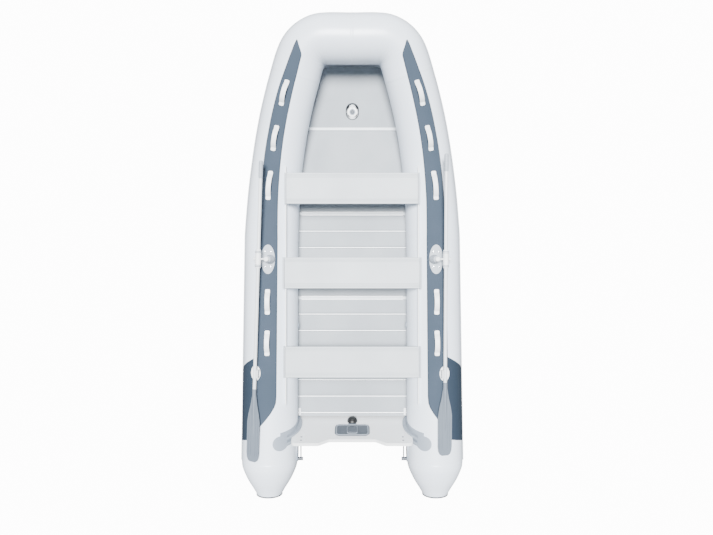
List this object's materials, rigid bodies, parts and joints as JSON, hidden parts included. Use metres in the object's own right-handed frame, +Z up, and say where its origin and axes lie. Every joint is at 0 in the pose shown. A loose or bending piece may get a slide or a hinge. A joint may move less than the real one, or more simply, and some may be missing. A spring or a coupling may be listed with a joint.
{
  "type": "sectional inflatable boat",
  "caption": "Open inflatable boat with tapered tube tails, raked transom, panel floor, sliding bench seats and stowed oars on swivelling oarlocks.",
  "frame": {"origin": "centre of the boat's bounding box on the ground that the tubes rest on", "axes": "+Z up, +Y towards the bow, +X to starboard"},
  "size_m": [1.8922, 4.0026, 0.6894],
  "materials": {
    "hull_fabric": "smooth inflated coated fabric",
    "dark_rubber": "moulded rubber",
    "pad_rubber": "ribbed rubber tread",
    "flank_fabric": "coated fabric panel",
    "bottom_fabric": "coated fabric",
    "moulded_grey": "moulded plastic",
    "white_plastic": "moulded plastic",
    "dark_plastic": "moulded plastic",
    "plate_plastic": "moulded plastic",
    "deck_alloy": "satin anodised",
    "frame_alloy": "satin anodised",
    "transom_wood": "painted marine plywood",
    "seat_alloy": "satin anodised",
    "seat_moulding": "moulded plastic",
    "steel": "polished stainless",
    "shaft_alloy": "satin anodised tube",
    "oar_plastic": "moulded plastic"
  },
  "bodies": {
    "boat": {"tube_sides": "hull_fabric", "tube_bow": "hull_fabric", "end_cones": "hull_fabric", "cone_caps": "dark_rubber", "rub_strake": "dark_rubber", "tread_pads": "pad_rubber", "flank_panels": "flank_fabric", "hull_bottom": "bottom_fabric", "keel_strip": "bottom_fabric", "keel_tube": "hull_fabric", "keel_valve": "dark_plastic", "floor_panel_bow": "deck_alloy", "floor_panel_fore": "deck_alloy", "floor_panel_middle": "deck_alloy", "floor_panel_aft": "deck_alloy", "floor_joints": "frame_alloy", "floor_stringers": "frame_alloy", "floor_latches": "white_plastic", "transom_board": "transom_wood", "transom_holders": "moulded_grey", "motor_plate_inner": "plate_plastic", "motor_plate_outer": "plate_plastic", "drain_valve": "dark_plastic", "seat_rails": "white_plastic", "oarlock_bases": "moulded_grey", "oar_rests": "white_plastic", "handles_starboard": "moulded_grey", "handles_port": "moulded_grey", "stern_fittings": "dark_plastic", "stern_bars": "steel", "bow_ring": "steel", "ring_bases": "moulded_grey", "air_valves": "dark_plastic"},
    "swivel_port": {"oarlock_swivel_port": "steel"},
    "oar_port": {"oar_shaft_port": "shaft_alloy", "oar_grip_port": "oar_plastic", "oar_collar_port": "oar_plastic", "oar_blade_port": "oar_plastic"},
    "swivel_starboard": {"oarlock_swivel_starboard": "steel"},
    "oar_starboard": {"oar_shaft_starboard": "shaft_alloy", "oar_grip_starboard": "oar_plastic", "oar_collar_starboard": "oar_plastic", "oar_blade_starboard": "oar_plastic"},
    "seat_fore": {"seat_board_fore": "seat_alloy", "seat_ends_fore": "seat_moulding"},
    "seat_middle": {"seat_board_middle": "seat_alloy", "seat_ends_middle": "seat_moulding"},
    "seat_aft": {"seat_board_aft": "seat_alloy", "seat_ends_aft": "seat_moulding"}
  },
  "joints": [
    {"name": "oar_swing_port", "type": "hinge", "parent": "boat", "child": "swivel_port", "pos_m": [-0.688, 0, 0.542], "axis": [0.2079, 0, -0.9781], "range_deg": [0, 140]},
    {"name": "oar_dip_port", "type": "hinge", "parent": "swivel_port", "child": "oar_port", "pos_m": [-0.75641, 0.00302, 0.52746], "axis": [-0.9772, 0.0431, -0.2077], "range_deg": [0, 7]},
    {"name": "oar_swing_starboard", "type": "hinge", "parent": "boat", "child": "swivel_starboard", "pos_m": [0.688, 0, 0.542], "axis": [0.2079, 0, 0.9781], "range_deg": [0, 140]},
    {"name": "oar_dip_starboard", "type": "hinge", "parent": "swivel_starboard", "child": "oar_starboard", "pos_m": [0.75647, 0.00043, 0.52745], "axis": [-0.9781, -0.0061, 0.2079], "range_deg": [0, 7]},
    {"name": "seat_slide_fore", "type": "slide", "parent": "boat", "child": "seat_fore", "axis": [0, 1, 0], "range_m": [-0.21, 0.095]},
    {"name": "seat_slide_middle", "type": "slide", "parent": "boat", "child": "seat_middle", "axis": [0, 1, 0], "range_m": [-0.23, 0.21]},
    {"name": "seat_slide_aft", "type": "slide", "parent": "boat", "child": "seat_aft", "axis": [0, 1, 0], "range_m": [-0.21, 0.23]}
  ]
}
